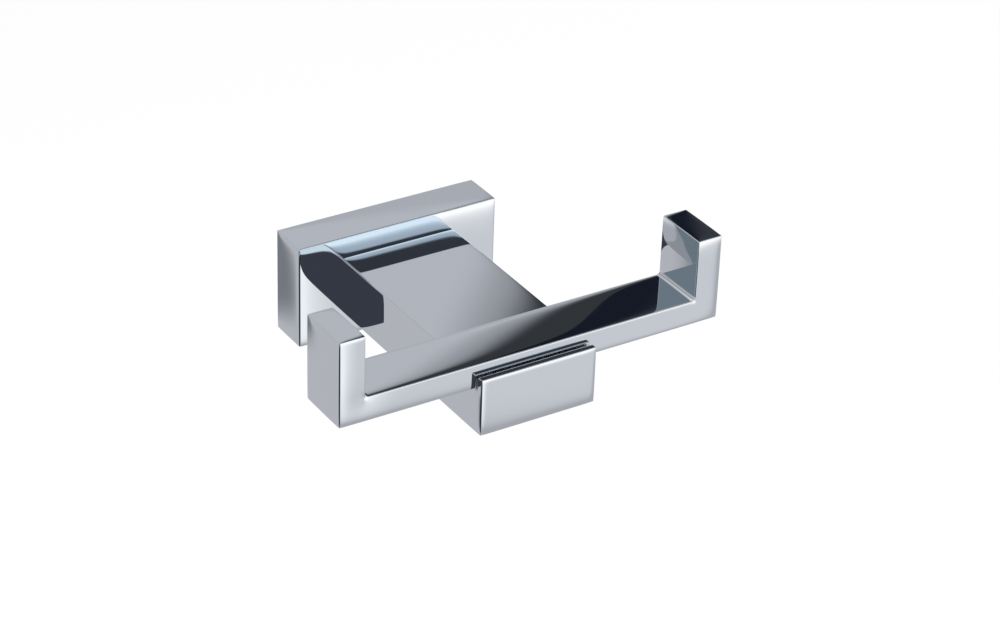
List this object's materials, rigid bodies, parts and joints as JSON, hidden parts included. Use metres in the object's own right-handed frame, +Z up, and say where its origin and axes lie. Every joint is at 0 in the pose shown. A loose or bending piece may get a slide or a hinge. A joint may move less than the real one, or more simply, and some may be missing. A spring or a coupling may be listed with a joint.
{
  "type": "double robe hook",
  "caption": "Wall-mounted double robe hook: hollow rectangular backplate, flat neck block and a U-shaped flat bar with upturned square ends.",
  "frame": {"origin": "centre of the backplate's open rear, in the plane of the wall", "axes": "+X along the hook arm, +Y into the wall, +Z up; the hooks stand out towards -Y"},
  "size_m": [0.1024, 0.0754, 0.0404],
  "materials": {
    "polished_chrome": "mirror-polished chrome plate over a solid or cast body",
    "zinc_plated_steel": "bright zinc plate over stamped steel, faint brushed and mottled look",
    "stainless_steel": "turned stainless steel"
  },
  "bodies": {
    "root": {"wall_bracket": "zinc_plated_steel", "backplate": "polished_chrome", "grub_screw": "stainless_steel", "neck_block": "polished_chrome", "neck_screws": "stainless_steel", "neck_lock_washers": "zinc_plated_steel", "hook_arm": "polished_chrome", "arm_screws": "stainless_steel"}
  },
  "joints": []
}
